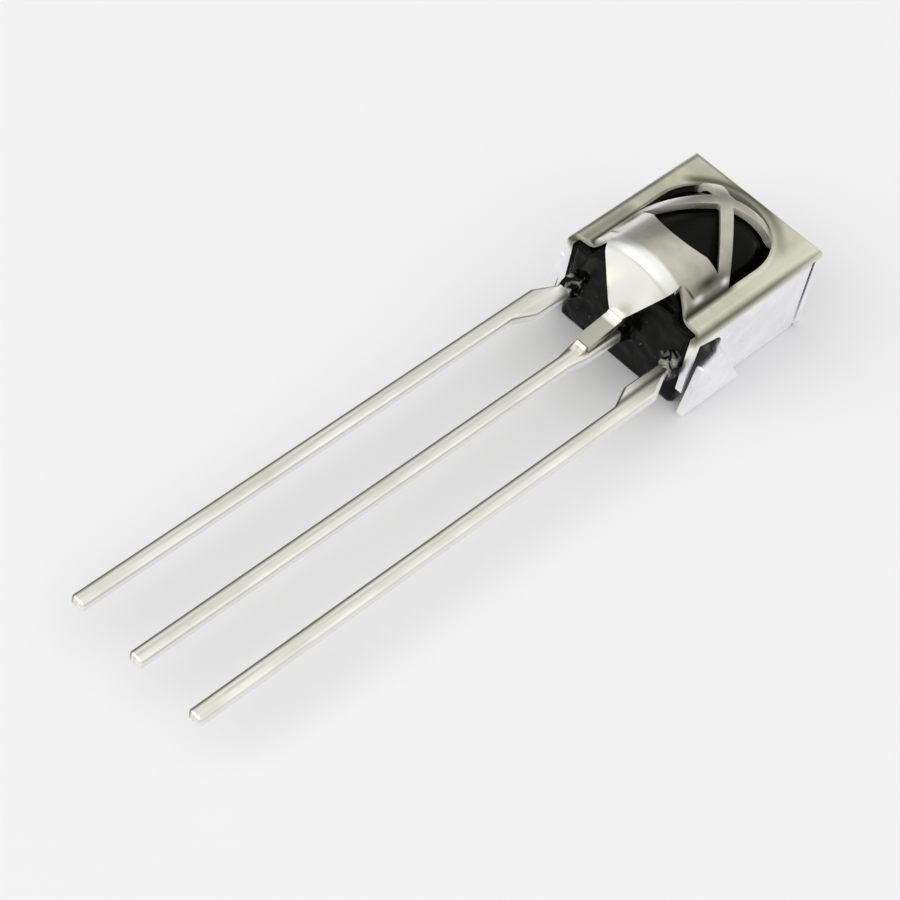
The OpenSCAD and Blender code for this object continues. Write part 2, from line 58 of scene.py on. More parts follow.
# Most of a noise pattern's values lie between these two.
NOISE_SPAN = (0.3, 0.7)

Pair = tuple[float, float]
Triple = tuple[float, float, float]
Colour = tuple[float, float, float, float]
Tree = bpy.types.NodeTree
Socket = bpy.types.NodeSocket
Values = dict[str, Socket]


class Lead(Enum):
    """The three leads, by the names of their CAD nodes."""

    OUT = "lead_out"
    GND = "lead_gnd"
    VCC = "lead_vcc"


class Ease(Enum):
    """How a value goes from one level to the other."""

    SMOOTH = "SMOOTHSTEP"
    EVEN = "LINEAR"


def srgb(code: str) -> Colour:
    """Turns an sRGB hex colour into linear values.

    Args:
        code: Six hex digits with a leading hash.

    Returns:
        Linear red, green and blue, and an alpha of 1.
    """
    values = [int(code[i : i + 2], 16) / 255 for i in (1, 3, 5)]
    linear = [v / 12.92 if v <= 0.04045 else ((v + 0.055) / 1.055) ** 2.4 for v in values]
    return linear[0], linear[1], linear[2], 1.0


def grey(level: float) -> Colour:
    """Returns a linear grey of one level."""
    return level, level, level, 1.0


def shifted(pair: Pair, origin: float) -> Pair:
    """Returns a pair of places that are measured from an origin, as plain places."""
    return origin + pair[0], origin + pair[1]


def add_node(
    tree: Tree,
    kind: str,
    settings: dict[str | int, Any] | None = None,
    links: dict[str | int, Socket] | None = None,
) -> bpy.types.Node:
    """Adds one node with its settings and its links.

    Args:
        tree: The node tree.
        kind: The node's type, such as "ShaderNodeTexNoise".
        settings: Attributes by name, or input values by socket name or index.
        links: The output socket that feeds each input, by name or index.

    Returns:
        The new node.
    """
    node = tree.nodes.new(kind)
    for name, value in (settings or {}).items():
        if isinstance(name, str) and hasattr(node, name):
            setattr(node, name, value)
        else:
            node.inputs[name].default_value = value
    for name, output in (links or {}).items():
        tree.links.new(output, node.inputs[name])
    return node


def joined(tree: Tree, operation: str, sockets: Sequence[Socket]) -> Socket:
    """Joins several masks into one, two at a time.

    Args:
        tree: The node tree.
        operation: MULTIPLY, MAXIMUM or ADD.
        sockets: The masks.

    Returns:
        The joined mask.
    """
    total = sockets[0]
    for socket in sockets[1:]:
        total = add_node(
            tree, "ShaderNodeMath", {"operation": operation}, {0: total, 1: socket}
        ).outputs["Value"]
    return total


@dataclass(frozen=True)
class Rise:
    """A value that goes from one level to another between two places.

    Places along a coordinate are in mm; those along a pattern or a normal are plain numbers.
    """

    along: str
    start: float
    end: float
    levels: Pair = (0.0, 1.0)
    ease: Ease = Ease.SMOOTH

    def add(self, tree: Tree, values: Values) -> Socket:
        """Adds the value to a material.

        Args:
            tree: The material's node tree.
            values: What patterns and masks can follow, by name.

        Returns:
            The value's socket.
        """
        low, high = self.levels if self.end > self.start else self.levels[::-1]
        return add_node(
            tree,
            "ShaderNodeMapRange",
            {
                "interpolation_type": self.ease.value,
                "From Min": min(self.start, self.end),
                "From Max": max(self.start, self.end),
                "To Min": low,
                "To Max": high,
            },
            {"Value": values[self.along]},
        ).outputs["Result"]


@dataclass(frozen=True)
class Ridge:
    """A mask that is 1 at one place and falls to 0 at a distance on both sides of it."""

    along: str
    place: float
    width: float

    def add(self, tree: Tree, values: Values) -> Socket:
        """Adds the mask to a material.

        Args:
            tree: The material's node tree.
            values: What patterns and masks can follow, by name.

        Returns:
            The mask's socket.
        """
        minus = {"operation": "SUBTRACT", 1: self.place}
        offset = add_node(tree, "ShaderNodeMath", minus, {0: values[self.along]})
        away = add_node(
            tree, "ShaderNodeMath", {"operation": "ABSOLUTE"}, {0: offset.outputs["Value"]}
        )
        return Rise("away", self.width, 0.0).add(tree, {"away": away.outputs["Value"]})


@dataclass(frozen=True)
class Patch:
    """One place where a colour shows: where all its masks are 1, at a strength."""

    masks: tuple[Rise | Ridge, ...]
    strength: float = 1.0

    def add(self, tree: Tree, values: Values) -> Socket:
        """Adds the patch's mask to a material.

        Args:
            tree: The material's node tree.
            values: What patterns and masks can follow, by name.

        Returns:
            The mask's socket.
        """
        product = joined(tree, "MULTIPLY", [mask.add(tree, values) for mask in self.masks])
        return add_node(
            tree, "ShaderNodeMath", {"operation": "MULTIPLY", 1: self.strength}, {0: product}
        ).outputs["Value"]


@dataclass(frozen=True)
class Tone:
    """A colour that drifts from its shade to its light with a pattern."""

    shade: str
    light: str
    span: Pair
    follows: str = "drift"

    def add(self, tree: Tree, values: Values) -> Socket:
        """Adds the colour to a material.

        Args:
            tree: The material's node tree.
            values: What patterns and masks can follow, by name.

        Returns:
            The colour's socket.
        """
        factor = Rise(self.follows, *self.span, ease=Ease.EVEN).add(tree, values)
        colours = {"data_type": "RGBA", 6: srgb(self.shade), 7: srgb(self.light)}
        return add_node(tree, "ShaderNodeMix", colours, {0: factor}).outputs[2]


@dataclass(frozen=True)
class Zone:
    """A colour that is laid over what is below it, where any of its patches shows."""

    colour: Tone | str
    patches: tuple[Patch, ...]

    def lay(self, tree: Tree, values: Values, below: Socket) -> Socket:
        """Lays the colour.

        Args:
            tree: The material's node tree.
            values: What patterns and masks can follow, by name.
            below: The colour's socket so far.

        Returns:
            The colour's socket with this zone in it.
        """
        mask = joined(tree, "MAXIMUM", [patch.add(tree, values) for patch in self.patches])
        settings: dict[str | int, Any] = {"data_type": "RGBA"}
        links: dict[str | int, Socket] = {0: mask, 6: below}
        if isinstance(self.colour, Tone):
            links[7] = self.colour.add(tree, values)
        else:
            settings[7] = srgb(self.colour)
        return add_node(tree, "ShaderNodeMix", settings, links).outputs[2]


class Finish:
    """What every finish shares: a material with one shader, measured in mm."""

    name: str

    def start(self) -> tuple[bpy.types.Material, Tree, bpy.types.Node, Values]:
        """Makes the bare material.

        Returns:
            The material, its tree, its shader, and the place on the part in mm as "place".
        """
        material = bpy.data.materials.new(self.name)
        material.use_nodes = True
        tree = material.node_tree
        where = add_node(tree, "ShaderNodeTexCoord").outputs["Object"]
        place = add_node(
            tree, "ShaderNodeVectorMath", {"operation": "SCALE", "Scale": 1 / MM}, {0: where}
        ).outputs["Vector"]
        return material, tree, tree.nodes["Principled BSDF"], {"place": place}

    def measure(self, tree: Tree, values: Values) -> None:
        """Adds X, Y and Z, and the distance from the middle plane as "side".

        Args:
            tree: The material's node tree.
            values: Where they are added.
        """
        place = add_node(tree, "ShaderNodeSeparateXYZ", links={0: values["place"]}).outputs
        side = add_node(tree, "ShaderNodeMath", {"operation": "ABSOLUTE"}, {0: place["X"]})
        values.update(X=place["X"], Y=place["Y"], Z=place["Z"], side=side.outputs["Value"])

    def face(self, tree: Tree, values: Values) -> None:
        """Adds the X and Y of the way that the surface faces, as "lean_x" and "lean_y".

        Args:
            tree: The material's node tree.
            values: Where they are added.
        """
        normal = add_node(tree, "ShaderNodeNewGeometry").outputs["Normal"]
        lean = add_node(tree, "ShaderNodeSeparateXYZ", links={0: normal}).outputs
        values.update(lean_x=lean["X"], lean_y=lean["Y"])

    def roughen(self, tree: Tree, shader: bpy.types.Node, values: Values, span: Pair) -> None:
        """Lets the roughness drift between two levels.

        Args:
            tree: The material's node tree.
            shader: Its shader.
            values: What patterns and masks can follow, by name.
            span: The roughness at the pattern's low and high values.
        """
        rough = Rise("drift", *NOISE_SPAN, levels=span, ease=Ease.EVEN).add(tree, values)
        tree.links.new(rough, shader.inputs["Roughness"])

    def emboss(
        self, tree: Tree, shader: bpy.types.Node, height: Socket, strength: float, depth_mm: float
    ) -> None:
        """Raises a fine relief.

        Args:
            tree: The material's node tree.
            shader: Its shader.
            height: The relief's pattern.
            strength: How strongly it shows.
            depth_mm: How high it stands.
        """
        settings = {"Strength": strength, "Distance": depth_mm * MM}
        bump = add_node(tree, "ShaderNodeBump", settings, {"Height": height})
        tree.links.new(bump.outputs["Normal"], shader.inputs["Normal"])


@dataclass(frozen=True)
class TinPlate(Finish):
    """Cold-rolled steel with a dull tin coat, folded and pressed.

    The front has a darker olive tone and the walls a paler, cooler grey, which is a
    painted reflection of the bright floor. The dome is painted darker, as shade, with
    painted shade along the folds, round the dome's foot and on its flank, darkest in
    the creases at the dome's foot. A painted sheen lies on the front's right strip
    and the dome's left flank, the tab is painted near white as a highlight and its
    foot darker, and the two short ridges between the creases carry painted highlights.

    A mask's field is named for what it marks and for the measure it follows. It
    holds where a Rise starts and ends, or a Ridge's place and width, in mm but
    for lean, and from the origin that the method adds, where it adds one.
    """

    name: str = "dull_tinplate"
    # One sheet in three tones: the walls' paler tone is a painted reflection of the bright floor,
    # and the dome's darker tone is painted shade.
    front: Tone = Tone("#c3c4af", "#dbdbc6", (0.34, 0.66))
    wall: Tone = Tone("#e6e5e9", "#f5f5f6", (0.34, 0.66))
    dome: Tone = Tone("#b5b3a4", "#cfccbe", (0.34, 0.66))
    # Painted sheen: the front's right strip and the dome's left flank are painted paler.
    front_right_sheen: str = "#eeeedb"
    dome_left_sheen: str = "#f2f0e8"
    # The tab is painted near white as a highlight, and its foot darker.
    tab: str = "#f7f7f1"
    foot: str = "#b4b5a6"
    # Painted shade along the folds, round the dome's foot and on its flank.
    fold_shade: str = "#65664f"
    # Darker painted shade in the creases at the dome's foot and on the left strip.
    crease_shade: str = "#45463a"
    # Painted highlights on two short ridges between the creases.
    ridge_glint: str = "#f8f8f0"
    roughness: Pair = (0.26, 0.36)
    cut_metallic: float = 0.25
    mottle_mm: float = 1.1
    grain_mm: float = 0.08
    scratch_mm: float = 0.07
    scratch_pull: Triple = (1.0, 0.05, 1.0)
    relief: Pair = (0.16, 0.005)
    front_mm: float = 3.55
    half_width_mm: float = 2.825
    lead_end_mm: float = -3.125
    foot_mm: float = -3.9
    dome_mm: Triple = (0.0, 0.535, 0.0)
    dome_foot_mm: float = 2.2
    slant: float = 0.36
    high_z: Pair = (-0.6, -0.35)
    right_x: Pair = (1.9, 2.4)
    right_y: Pair = (-2.2, 1.0)
    right_share: float = 0.62
    dome_z: Pair = (0.02, 0.35)
    dome_left_sheen_x: Pair = (-0.3, -1.4)
    tab_y: Pair = (0.5, 0.32)
    tab_z: Pair = (0.1, 0.35)
    hanging_y: Pair = (-0.005, -0.05)
    foot_y: Pair = (0.06, -0.06)
    bend_fold: Pair = (0.12, 0.46)
    bend_side: Pair = (-0.5, -0.3)
    bend_y: Pair = (4.6, 0.2)
    bend_share: float = 0.8
    ring_reach: Pair = (0.17, 0.33)
    ring_y: Pair = (0.95, 1.5)
    ring_x: Pair = (3.2, -0.2)
    ring_share: float = 0.95
    flank_x: Pair = (0.6, 1.9)
    flank_z: Pair = (0.05, 0.3)
    flank_share: float = 0.42
    near_y: Pair = (-0.3, -0.9)
    above_z: Pair = (-0.1, -0.02)
    strip_x: Pair = (-2.35, 0.4)
    strip_share: float = 0.5
    crease_slant: Pair = (-3.02, 0.1)
    crease_side: Pair = (1.72, 0.4)
    hollow_side: Pair = (2.05, 0.2)
    deep_shade_side: Pair = (1.7, 0.24)
    deep_shade_y: Pair = (-1.55, 1.1)
    ridge_side: Pair = (1.89, 0.11)
    ridge_y: tuple[Pair, ...] = ((-2.2, 0.4), (-0.9, 0.3))
    ridge_z: Pair = (0.0, 0.1)
    sheared_lean: Pair = (-0.55, -0.85)
    sheared_z: Pair = (-0.45, -0.3)
    sheared_y: Pair = (0.02, 0.1)

    def make(self) -> bpy.types.Material:
        """Returns the finished material."""
        material, tree, shader, values = self.start()
        self.measure(tree, values)
        self.face(tree, values)
        mottle = {"Scale": 1 / self.mottle_mm, "Detail": 5.0, "Roughness": 0.6}
        values["drift"] = add_node(
            tree, "ShaderNodeTexNoise", mottle, {"Vector": values["place"]}
        ).outputs["Fac"]
        self.survey(tree, values)
        front = self.right_strip().lay(tree, values, self.front.add(tree, values))
        # The walls below the front get their paler tone, a painted reflection of the bright floor.
        high = Rise("Z", *shifted(self.high_z, self.front_mm)).add(tree, values)
        colour = add_node(
            tree,
            "ShaderNodeMix",
            {"data_type": "RGBA"},
            {0: high, 6: self.wall.add(tree, values), 7: front},
        ).outputs[2]
        for zone in (*self.pressed_zones(), *self.shade_and_glint_zones()):
            colour = zone.lay(tree, values, colour)
        tree.links.new(colour, shader.inputs["Base Color"])
        self.roughen(tree, shader, values, self.roughness)
        self.coat(tree, shader, values)
        return material

    def survey(self, tree: Tree, values: Values) -> None:
        """Adds the distances that the folds, the dome's foot and the creases follow.

        Args:
            tree: The material's node tree.
            values: Where "fold", "reach" and "slant" are added.
        """
        values["fold"] = add_node(
            tree, "ShaderNodeMath", {"operation": "SUBTRACT"}, {0: values["side"], 1: values["Z"]}
        ).outputs["Value"]
        from_dome = add_node(
            tree,
            "ShaderNodeVectorMath",
            {"operation": "SUBTRACT", 1: self.dome_mm},
            {0: values["place"]},
        ).outputs["Vector"]
        level = {"operation": "MULTIPLY", 1: (1.0, 1.0, 0.0)}
        flat = add_node(
            tree, "ShaderNodeVectorMath", level, {0: from_dome}
        ).outputs["Vector"]
        values["reach"] = add_node(
            tree, "ShaderNodeVectorMath", {"operation": "LENGTH"}, {0: flat}
        ).outputs["Value"]
        share = add_node(
            tree, "ShaderNodeMath", {"operation": "MULTIPLY", 1: self.slant}, {0: values["side"]}
        ).outputs["Value"]
        values["slant"] = add_node(
            tree, "ShaderNodeMath", {"operation": "SUBTRACT"}, {0: values["Y"], 1: share}
        ).outputs["Value"]

    def right_strip(self) -> Zone:
        """Returns the painted sheen on a strip of the front on the right."""
        masks = (Rise("X", *self.right_x), Rise("Y", *self.right_y))
        return Zone(self.front_right_sheen, (Patch(masks, self.right_share),))

    def pressed_zones(self) -> tuple[Zone, ...]:
        """Returns the dome's painted shade, the painted sheen on its left, the tab's painted
        highlight and its foot's darker tone.
        """
        front, end = self.front_mm, self.lead_end_mm
        raised = Rise("Z", *shifted(self.dome_z, front))
        crest = (Rise("Y", *shifted(self.tab_y, end)), Rise("Z", *shifted(self.tab_z, front)))
        hanging = (Rise("Y", *shifted(self.hanging_y, end)),)
        foot = (Rise("Y", *shifted(self.foot_y, self.foot_mm)),)
        return (
            Zone(self.dome, (Patch((raised,)),)),
            Zone(self.dome_left_sheen, (Patch((Rise("X", *self.dome_left_sheen_x), raised)),)),
            Zone(self.tab, (Patch(crest), Patch(hanging))),
            Zone(self.foot, (Patch(foot),)),
        )

    def shade_and_glint_zones(self) -> tuple[Zone, ...]:
        """Returns the painted shade of the folds and the dome's foot, the creases' darker painted
        shade and the ridges' painted highlights.
        """
        front, half = self.front_mm, self.half_width_mm
        corner, fold_width = self.bend_fold
        fold = (
            Ridge("fold", half - front + corner, fold_width),
            Rise("side", *shifted(self.bend_side, half)),
            Rise("Y", *self.bend_y),
        )
        outside, ring_width = self.ring_reach
        ring = (
            Ridge("reach", self.dome_foot_mm + outside, ring_width),
            Rise("Y", *shifted(self.ring_y, self.dome_mm[1])),
            Rise("X", *self.ring_x),
        )
        flank = (Rise("X", *self.flank_x), Rise("Z", *shifted(self.flank_z, front)))
        near, above = Rise("Y", *self.near_y), Rise("Z", *shifted(self.above_z, front))
        strip = (Ridge("X", *self.strip_x), near, above)
        crease = (Ridge("slant", *self.crease_slant), Ridge("side", *self.crease_side), above)
        hollow = (Ridge("side", *self.hollow_side), near, above)
        deep_shade = (Ridge("side", *self.deep_shade_side), Ridge("Y", *self.deep_shade_y), above)
        ridge, over = Ridge("side", *self.ridge_side), Rise("Z", *shifted(self.ridge_z, front))
        fold_shade = (
            Patch(fold, self.bend_share),
            Patch(ring, self.ring_share),
            Patch(flank, self.flank_share),
        )
        crease_shade = (Patch(strip, self.strip_share), Patch(crease), Patch(hollow), Patch(deep_shade))
        ridge_glint = tuple(Patch((ridge, Ridge("Y", *end), over)) for end in self.ridge_y)
        return (
            Zone(self.fold_shade, fold_shade),
            Zone(self.crease_shade, crease_shade),
            Zone(self.ridge_glint, ridge_glint),
        )

    def coat(self, tree: Tree, shader: bpy.types.Node, values: Values) -> None:
        """Adds the coat's drawn marks and grain, and takes it off the sheared edge.

        Args:
            tree: The material's node tree.
            shader: The shader.
            values: What patterns and masks can follow, by name.
        """
        drawn = add_node(
            tree, "ShaderNodeMapping", {"Scale": self.scratch_pull}, {"Vector": values["place"]}
        ).outputs["Vector"]
        marks = {"Scale": 1 / self.scratch_mm, "Detail": 3.0}
        scratch = add_node(tree, "ShaderNodeTexNoise", marks, {"Vector": drawn}).outputs["Fac"]
        rolled = {"Scale": 1 / self.grain_mm, "Detail": 4.0}
        grain = add_node(
            tree, "ShaderNodeTexNoise", rolled, {"Vector": values["place"]}
        ).outputs["Fac"]
        self.emboss(tree, shader, joined(tree, "ADD", (scratch, grain)), *self.relief)
        sheared = Patch(
            (
                Rise("lean_y", *self.sheared_lean),
                Rise("Z", *shifted(self.sheared_z, self.front_mm)),
                Rise("Y", *shifted(self.sheared_y, self.lead_end_mm)),
            )
        ).add(tree, values)
        bare = Rise("sheared", 0.0, 1.0, (1.0, self.cut_metallic), Ease.EVEN)
        tree.links.new(bare.add(tree, {"sheared": sheared}), shader.inputs["Metallic"])


@dataclass(frozen=True)
class CastEpoxy(Finish):
    """Black epoxy resin, cast in a cup mould and glossy as it set.

    It gives the eye sharp highlights on near black, with faint flow marks,
    painted highlights round the outer leads and a painted grey reflection behind each ear.
    """

    name: str = "cast_black_epoxy"
    resin: Tone = Tone("#040403", "#0e0e0c", (0.35, 0.75))
    # Painted highlights on the lumps round the outer leads, and a painted grey reflection behind
    # each ear.
    painted_sheen: str = "#a7a79d"
    roughness: Pair = (0.12, 0.3)
    ior: float = 1.55
    specular: float = 0.07
    flow_mm: float = 1.1
    orange_peel_mm: float = 0.35
    relief: Pair = (0.3, 0.02)
    glint_mm: float = 0.34
    glint_span: Pair = (0.7, 0.86)
    glint_lift: float = 0.3
    # Side and height of an outer lead's middle, and how far the painted highlights reach from it.
    lead_mm: Pair = (2.17, 1.75)
    lead_reach_mm: Pair = (0.75, 0.85)
    lead_side_mm: float = -3.095
    # Y and Z of the painted reflection's middle, how far it reaches, and the sides where it shows.
    reflection_mm: Pair = (-1.8, 2.0)
    reflection_reach_mm: Pair = (0.5, 0.45)
    reflection_side_mm: Pair = (2.45, 2.53)
    # Measured from the side that the leads leave by.
    glint_band_mm: Pair = (0.1, -0.05)

    def make(self) -> bpy.types.Material:
        """Returns the finished material."""
        material, tree, shader, values = self.start()
        self.measure(tree, values)
        place = {"Vector": values["place"]}
        flow = {"Scale": 1 / self.flow_mm, "Detail": 3.0, "Distortion": 0.8}
        values["drift"] = add_node(tree, "ShaderNodeTexNoise", flow, place).outputs["Fac"]
        glint_noise = {"Scale": 1 / self.glint_mm, "Detail": 2.0, "Distortion": 0.6}
        glints = add_node(tree, "ShaderNodeTexNoise", glint_noise, place).outputs["Fac"]
        near_lead = Patch(
            (
                Ridge("side", self.lead_mm[0], self.lead_reach_mm[0]),
                Ridge("Z", self.lead_mm[1], self.lead_reach_mm[1]),
            ),
            self.glint_lift,
        ).add(tree, values)
        values["glints"] = joined(tree, "ADD", (glints, near_lead))
        colour = self.resin.add(tree, values)
        # Lays the painted highlights and the painted reflection.
        for patch in (self.glinted(), self.reflected()):
            colour = Zone(self.painted_sheen, (patch,)).lay(tree, values, colour)
        tree.links.new(colour, shader.inputs["Base Color"])
        self.roughen(tree, shader, values, self.roughness)
        peel = {"Scale": 1 / self.orange_peel_mm, "Detail": 2.0}
        height = add_node(tree, "ShaderNodeTexNoise", peel, place).outputs["Fac"]
        self.emboss(tree, shader, height, *self.relief)
        shader.inputs["IOR"].default_value = self.ior
        shader.inputs["Specular IOR Level"].default_value = self.specular
        return material

    def glinted(self) -> Patch:
        """Returns where painted highlights fleck the side that the leads leave by."""
        return Patch(
            (
                Rise("glints", *self.glint_span, ease=Ease.EVEN),
                Rise("Y", *shifted(self.glint_band_mm, self.lead_side_mm)),
            )
        )

    def reflected(self) -> Patch:
        """Returns where a painted grey reflection shows on the resin behind the gap beside each
        ear.
        """
        return Patch(
            (
                Ridge("Y", self.reflection_mm[0], self.reflection_reach_mm[0]),
                Ridge("Z", self.reflection_mm[1], self.reflection_reach_mm[1]),
                Rise("side", *self.reflection_side_mm),
            )
        )


@dataclass(frozen=True)
class TinnedLead(Finish):
    """A stamped copper-alloy lead with a bright dip of tin.

    The tin is cream where it is thick and leaves long soft streaks down the
    lead. The rolled edge on the left is painted grey, as shade, and the right side
    face paler, as a reflection of the floor.
    """

    name: str = "bright_tinned_lead"
    tin: Tone = Tone("#e3e2d6", "#fbfaf0", (0.36, 0.6))
    furrow: str = "#c9c9bb"
    # The right side face is painted paler, as a reflection of the floor.
    side: str = "#e9e7e6"
    # The left edge is painted darker grey, as shade.
    left_edge_shade: str = "#7f7e74"
    roughness: Pair = (0.4, 0.28)
    streak_mm: float = 0.2
    streak_pull: Triple = (1.0, 0.04, 1.0)
    patch_mm: float = 1.6
    patch_share: float = 0.45
    relief: Pair = (0.25, 0.012)
    pitch_mm: float = 2.54
    furrow_mm: Pair = (-0.02, 0.1)
    furrow_share: Pair = (0.15, 0.8)
    floor_reflection_lean: Pair = (0.6, 0.95)
    left_shade_lean: Pair = (-0.12, -0.6)
    left_shade_mm: Pair = (-0.24, 0.17)

    def make(self) -> bpy.types.Material:
        """Returns the finished material."""
        material, tree, shader, values = self.start()
        self.measure(tree, values)
        self.face(tree, values)
        along = add_node(
            tree, "ShaderNodeMapping", {"Scale": self.streak_pull}, {"Vector": values["place"]}
        ).outputs["Vector"]
        streaked = {"Scale": 1 / self.streak_mm, "Detail": 4.0}
        streak = add_node(tree, "ShaderNodeTexNoise", streaked, {"Vector": along}).outputs["Fac"]
        patched = {"Scale": 1 / self.patch_mm, "Detail": 3.0}
        values["patch"] = add_node(
            tree, "ShaderNodeTexNoise", patched, {"Vector": values["place"]}
        ).outputs["Fac"]
        values["drift"] = add_node(
            tree, "ShaderNodeMix", {0: self.patch_share}, {2: streak, 3: values["patch"]}
        ).outputs[0]
        half = self.pitch_mm / 2
        values["across"] = add_node(
            tree, "ShaderNodeMath", {"operation": "WRAP", 1: half, 2: -half}, {0: values["X"]}
        ).outputs["Value"]
        colour = self.tin.add(tree, values)
        for zone in self.zones():
            colour = zone.lay(tree, values, colour)
        tree.links.new(colour, shader.inputs["Base Color"])
        self.roughen(tree, shader, values, self.roughness)
        self.emboss(tree, shader, streak, *self.relief)
        shader.inputs["Metallic"].default_value = 1.0
        return material

    def zones(self) -> tuple[Zone, ...]:
        """Returns the furrow down the middle, the right side's painted reflection and the left
        edge's painted shade.
        """
        broken = Rise("patch", *NOISE_SPAN, levels=self.furrow_share, ease=Ease.EVEN)
        left_side = Patch((Rise("lean_x", *self.left_shade_lean),))
        left_edge = Patch((Ridge("across", *self.left_shade_mm),))
        return (
            Zone(self.furrow, (Patch((Ridge("across", *self.furrow_mm), broken)),)),
            Zone(self.side, (Patch((Rise("lean_x", *self.floor_reflection_lean),)),)),
            Zone(self.left_edge_shade, (left_side, left_edge)),
        )


@dataclass(frozen=True)
class PlainFinish(Finish):
    """A small part's material: one tone with a fine drift in it."""

    name: str
    tone: Tone
    drift_mm: float
    metallic: float
    roughness: Pair

    def make(self) -> bpy.types.Material:
        """Returns the finished material."""
        material, tree, shader, values = self.start()
        drift = {"Scale": 1 / self.drift_mm, "Detail": 4.0}
        values["drift"] = add_node(
            tree, "ShaderNodeTexNoise", drift, {"Vector": values["place"]}
        ).outputs["Fac"]
        tree.links.new(self.tone.add(tree, values), shader.inputs["Base Color"])
        self.roughen(tree, shader, values, self.roughness)
        shader.inputs["Metallic"].default_value = self.metallic
        return material


# How far each small part's tone drifts.
DRIFT_SPAN = (0.35, 0.65)
# Solder that has flowed and set: smooth, bright and a little uneven.
SOLDER = PlainFinish(
    "flowed_solder", Tone("#b4b3a6", "#dcdbcf", DRIFT_SPAN), 0.18, 1.0, (0.26, 0.38)
)
# Sawn and polished silicon with its blue-grey passivation.
SILICON = PlainFinish(
    "passivated_silicon", Tone("#262b3b", "#454c63", DRIFT_SPAN), 0.3, 0.0, (0.08, 0.16)
)
# Epoxy filled with silver flake: a dull pale grey paste.
ADHESIVE = PlainFinish(
    "silver_filled_adhesive", Tone("#96958f", "#bdbcb6", DRIFT_SPAN), 0.1, 0.3, (0.5, 0.65)
)
# Drawn gold bonding wire: smooth and warm.
GOLD = PlainFinish("drawn_gold", Tone("#c8962f", "#e2b44a", DRIFT_SPAN), 0.05, 1.0, (0.2, 0.3))


def claim(
    piece: bpy.types.Object, material: bpy.types.Material, node: str
) -> bpy.types.Object:
    """Gives a piece its material and its place on the part.

    Args:
        piece: The new object.
        material: Its finish.
        node: The CAD node that it stands for.

    Returns:
        The same piece.
    """
    piece.data.materials.clear()
    piece.data.materials.append(material)
    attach(piece, BODY)
    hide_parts(node)
    return piece


def to_object(name: str, shape: bmesh.types.BMesh) -> bpy.types.Object:
    """Turns a bmesh into a smooth object in the scene.

    Args:
        name: The object's name.
        shape: The mesh, which is freed.

    Returns:
        The new object.
    """
    mesh = bpy.data.meshes.new(name)
    bmesh.ops.recalc_face_normals(shape, faces=shape.faces)
    shape.to_mesh(mesh)
    shape.free()
    mesh.shade_smooth()
    piece = bpy.data.objects.new(name, mesh)
    bpy.context.scene.collection.objects.link(piece)
    return piece


def bevelled(
    piece: bpy.types.Object, width_mm: float, angle_deg: float, segments: int
) -> bpy.types.Object:
    """Rounds a piece's sharp edges and evens its normals.

    Args:
        piece: The object to round.
        width_mm: How wide the rounding is.
        angle_deg: Edges sharper than this are rounded.
        segments: How many faces cross the rounding.

    Returns:
        The same piece.
    """
    bevel = piece.modifiers.new("edge_round", "BEVEL")
    bevel.width = width_mm * MM
    bevel.segments = segments
    bevel.limit_method = "ANGLE"
    bevel.angle_limit = math.radians(angle_deg)
    bevel.miter_outer = "MITER_ARC"
    even = piece.modifiers.new("even_shading", "WEIGHTED_NORMAL")
    even.mode = "FACE_AREA"
    even.weight = 80
    even.keep_sharp = True
    return piece


def copy_of(node: str) -> bmesh.types.BMesh:
    """Copies a CAD node's mesh with its doubled corners joined and its flat faces whole.

    Args:
        node: The CAD node.

    Returns:
        The copied mesh.
    """
    shape = bmesh.new()
    shape.from_mesh(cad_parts[node].data)
    bmesh.ops.remove_doubles(shape, verts=shape.verts, dist=JOIN_MM * MM)
    bmesh.ops.dissolve_limit(
        shape,
        angle_limit=math.radians(FLAT_DEG),
        verts=shape.verts,
        edges=shape.edges,
        use_dissolve_boundaries=False,
    )
    return shape


def poured(piece: bpy.types.Object, cell_mm: float, passes: int) -> bpy.types.Object:
    """Makes one even skin round a piece's solids and softens it, as a liquid that has set.

    The skin is made with the mesh in mm, because its cells can't be small enough in metres.

    Args:
        piece: The object to remake.
        cell_mm: The size of the skin's faces.
        passes: How often the skin is softened.

    Returns:
        The same object.
    """
    piece.data.transform(Matrix.Scale(1 / MM, 4))
    skin = piece.modifiers.new("skin", "REMESH")
    skin.mode = "VOXEL"
    skin.voxel_size = cell_mm
    soften = piece.modifiers.new("soften", "SMOOTH")
    soften.factor = 0.5
    soften.iterations = passes
    bpy.context.view_layer.update()
    graph = bpy.context.evaluated_depsgraph_get()
    mesh = bpy.data.meshes.new_from_object(piece.evaluated_get(graph))
    piece.modifiers.clear()
    piece.data = mesh
    mesh.shade_smooth()
    mesh.transform(Matrix.Scale(MM, 4))
    return piece


def add_block(shape: bmesh.types.BMesh, low_mm: Sequence[float], high_mm: Sequence[float]) -> None:
    """Adds a closed block to a mesh.

    Args:
        shape: The mesh.
        low_mm: The block's lowest corner.
        high_mm: Its highest corner.
    """
    size = [(b - a) * MM for a, b in zip(low_mm, high_mm)]
    middle = [(a + b) / 2 * MM for a, b in zip(low_mm, high_mm)]
    place = Matrix.Translation(middle) @ Matrix.Diagonal((*size, 1.0))
    bmesh.ops.create_cube(shape, size=1.0, matrix=place)


@dataclass
class Shield:
    """The folded and pressed tinplate shield."""

    edge_mm: float = 0.06
    edge_deg: float = 32.0
    edge_segments: int = 3
    finish: TinPlate = field(default_factory=TinPlate)

    def build(self) -> list[bpy.types.Object]:
        """Builds the sheet with its cut edges broken and returns it."""
        piece = to_object("shield_sheet", copy_of("shield"))
        bevelled(piece, self.edge_mm, self.edge_deg, self.edge_segments)
        return [claim(piece, self.finish.make(), "shield")]


